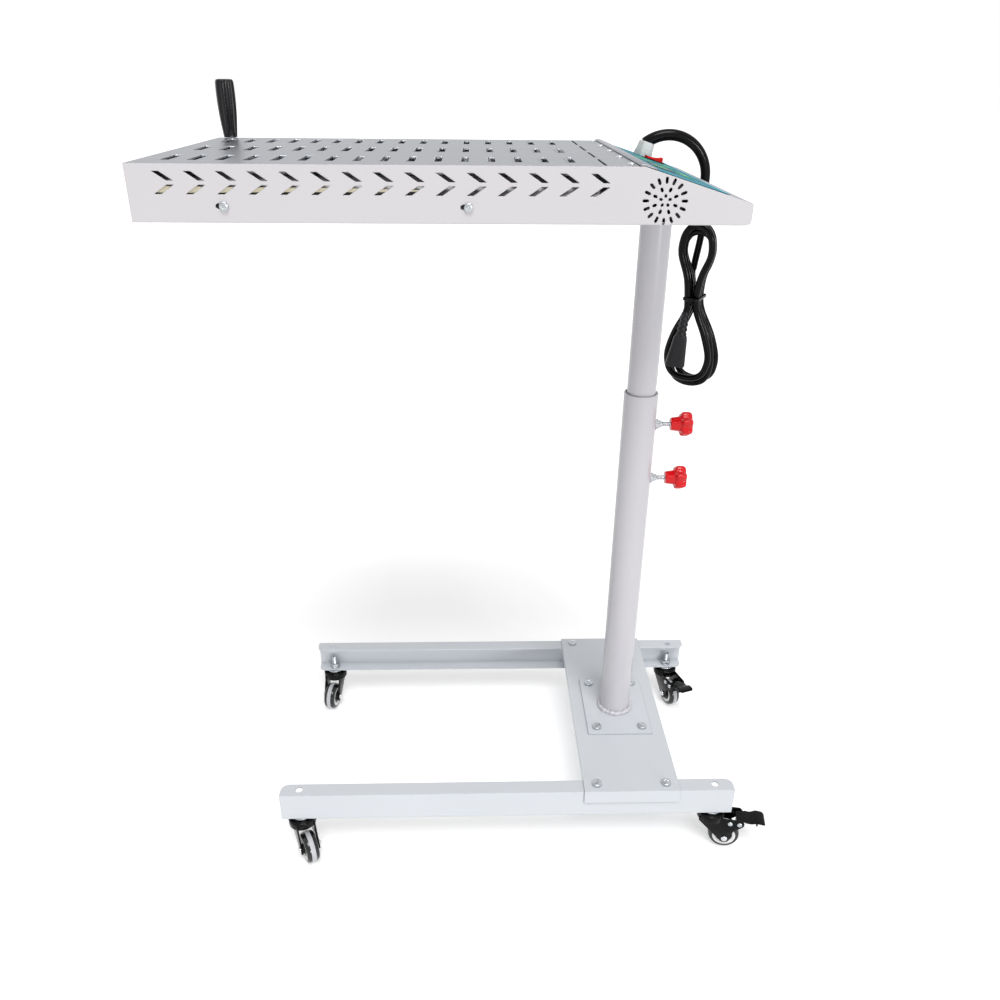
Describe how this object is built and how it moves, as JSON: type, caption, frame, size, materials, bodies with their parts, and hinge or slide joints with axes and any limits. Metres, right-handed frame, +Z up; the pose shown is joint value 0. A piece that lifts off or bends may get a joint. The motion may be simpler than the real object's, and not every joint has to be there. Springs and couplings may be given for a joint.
{
  "type": "flash dryer",
  "caption": "Infrared flash dryer for printed garments: a flat heater head on a height-adjustable round post, with a channel base on braked casters.",
  "frame": {"origin": "floor point under the middle of the footprint's bounding box, without the mains lead", "axes": "+Z up; +X from the heater towards the control end and the post; +Y from the near side panel, which carries the round vent, to the far side with the handle and the lead"},
  "size_m": [0.8362, 0.4396, 1.1105],
  "materials": {
    "white_paint": "semi-gloss white powder coat",
    "tube_paint": "semi-gloss pale warm grey powder coat",
    "satin_steel": "aluminised sheet, satin grey",
    "zinc_plate": "bright zinc plate",
    "chrome": "polished plate",
    "black_steel": "glossy black coat on pressed steel",
    "black_plastic": "satin black moulding",
    "grey_tread": "translucent grey polyurethane",
    "red_plastic": "glossy red moulding",
    "lead_rubber": "black vinyl sheath",
    "gland_nylon": "milky translucent nylon",
    "quartz": "clear fused quartz",
    "reflector": "bright reflector sheet",
    "panel_film": "printed teal film"
  },
  "bodies": {
    "base": {"rail_near": "white_paint", "rail_far": "white_paint", "cross_plate": "white_paint", "post_flange": "white_paint", "lower_tube": "tube_paint", "caster_stem_near_left": "zinc_plate", "caster_stem_near_right": "zinc_plate", "caster_stem_far_left": "zinc_plate", "caster_stem_far_right": "zinc_plate"},
    "mast": {"upper_tube": "tube_paint"},
    "head": {"head_socket": "white_paint", "side_panel_near": "white_paint", "side_panel_far": "white_paint", "top_cover": "satin_steel", "control_floor": "satin_steel", "bulkhead": "satin_steel", "reflector_tray": "reflector", "tube_rack_left": "satin_steel", "tube_rack_right": "satin_steel", "quartz_element_1": "quartz", "quartz_element_2": "quartz", "quartz_element_3": "quartz", "quartz_element_4": "quartz", "quartz_element_5": "quartz", "quartz_element_6": "quartz", "quartz_element_7": "quartz", "quartz_element_8": "quartz", "fan_frame": "black_plastic", "controller_unit": "black_plastic", "control_film": "panel_film", "rocker_body": "black_plastic", "cable_gland": "gland_nylon", "lead_sleeve": "lead_rubber", "lead_drop": "lead_rubber", "lead_hank": "lead_rubber", "hank_tie": "black_plastic", "mains_plug": "lead_rubber", "handle_bolt": "chrome"},
    "knob_upper": {"star_knob_upper": "red_plastic"},
    "knob_lower": {"star_knob_lower": "red_plastic"},
    "rocker": {"rocker_key": "red_plastic"},
    "fan": {"fan_rotor": "black_plastic"},
    "grip": {"handle_grip": "black_plastic"},
    "fork_near_left": {"caster_fork_near_left": "black_steel", "caster_axle_near_left": "chrome"},
    "wheel_near_left": {"caster_wheel_near_left": "grey_tread"},
    "fork_near_right": {"caster_fork_near_right": "black_steel", "caster_axle_near_right": "chrome"},
    "wheel_near_right": {"caster_wheel_near_right": "grey_tread"},
    "fork_far_left": {"caster_fork_far_left": "black_steel", "caster_axle_far_left": "chrome"},
    "wheel_far_left": {"caster_wheel_far_left": "grey_tread"},
    "fork_far_right": {"caster_fork_far_right": "black_steel", "caster_axle_far_right": "chrome"},
    "wheel_far_right": {"caster_wheel_far_right": "grey_tread"},
    "pedal_near_right": {"brake_pedal_near_right": "black_steel"},
    "pedal_far_right": {"brake_pedal_far_right": "black_steel"}
  },
  "joints": [
    {"name": "mast_slide", "type": "slide", "parent": "base", "child": "mast", "axis": [0, 0, 1], "range_m": [-0.16, 0.22]},
    {"name": "head_swivel", "type": "hinge", "parent": "mast", "child": "head", "pos_m": [0.1999, 0.01194, 0.966], "axis": [0, 0, 1], "range_deg": [-180, 180]},
    {"name": "knob_upper_turn", "type": "hinge", "parent": "base", "child": "knob_upper", "pos_m": [0.1999, 0.01194, 0.65669], "axis": [1, 0, 0], "range_deg": [0, 720]},
    {"name": "knob_lower_turn", "type": "hinge", "parent": "base", "child": "knob_lower", "pos_m": [0.1999, 0.01194, 0.56919], "axis": [1, 0, 0], "range_deg": [0, 720]},
    {"name": "rocker_tilt", "type": "hinge", "parent": "head", "child": "rocker", "pos_m": [0.20967, 0.11694, 1.01338], "axis": [0, 1, 0], "range_deg": [0, 16]},
    {"name": "fan_spin", "type": "hinge", "parent": "head", "child": "fan", "pos_m": [0.1679, -0.18256, 0.99729], "axis": [0, 1, 0], "continuous": true},
    {"name": "grip_spin", "type": "hinge", "parent": "head", "child": "grip", "pos_m": [-0.3976, 0.19494, 1.03269], "axis": [0, 0, 1], "continuous": true},
    {"name": "swivel_near_left", "type": "hinge", "parent": "base", "child": "fork_near_left", "pos_m": [-0.3186, -0.17306, 0.075], "axis": [0, 0, 1], "continuous": true},
    {"name": "roll_near_left", "type": "hinge", "parent": "fork_near_left", "child": "wheel_near_left", "pos_m": [-0.3071, -0.1947, 0.02469], "axis": [0.8829, 0.4695, 0], "continuous": true},
    {"name": "swivel_near_right", "type": "hinge", "parent": "base", "child": "fork_near_right", "pos_m": [0.3324, -0.17306, 0.075], "axis": [0, 0, 1], "continuous": true},
    {"name": "roll_near_right", "type": "hinge", "parent": "fork_near_right", "child": "wheel_near_right", "pos_m": [0.35653, -0.17732, 0.02469], "axis": [0.1736, 0.9848, 0], "continuous": true},
    {"name": "swivel_far_left", "type": "hinge", "parent": "base", "child": "fork_far_left", "pos_m": [-0.3186, 0.19694, 0.075], "axis": [0, 0, 1], "continuous": true},
    {"name": "roll_far_left", "type": "hinge", "parent": "fork_far_left", "child": "wheel_far_left", "pos_m": [-0.32369, 0.17297, 0.02469], "axis": [0.9781, -0.2079, 0], "continuous": true},
    {"name": "swivel_far_right", "type": "hinge", "parent": "base", "child": "fork_far_right", "pos_m": [0.3324, 0.19694, 0.075], "axis": [0, 0, 1], "continuous": true},
    {"name": "roll_far_right", "type": "hinge", "parent": "fork_far_right", "child": "wheel_far_right", "pos_m": [0.34038, 0.17377, 0.02469], "axis": [0.9455, 0.3256, 0], "continuous": true},
    {"name": "brake_near_right", "type": "hinge", "parent": "fork_near_right", "child": "pedal_near_right", "pos_m": [0.37672, -0.18088, 0.05669], "axis": [0.1736, 0.9848, 0], "range_deg": [-14, 0]},
    {"name": "brake_far_right", "type": "hinge", "parent": "fork_far_right", "child": "pedal_far_right", "pos_m": [0.34705, 0.15439, 0.05669], "axis": [0.9455, 0.3256, 0], "range_deg": [0, 14]}
  ]
}
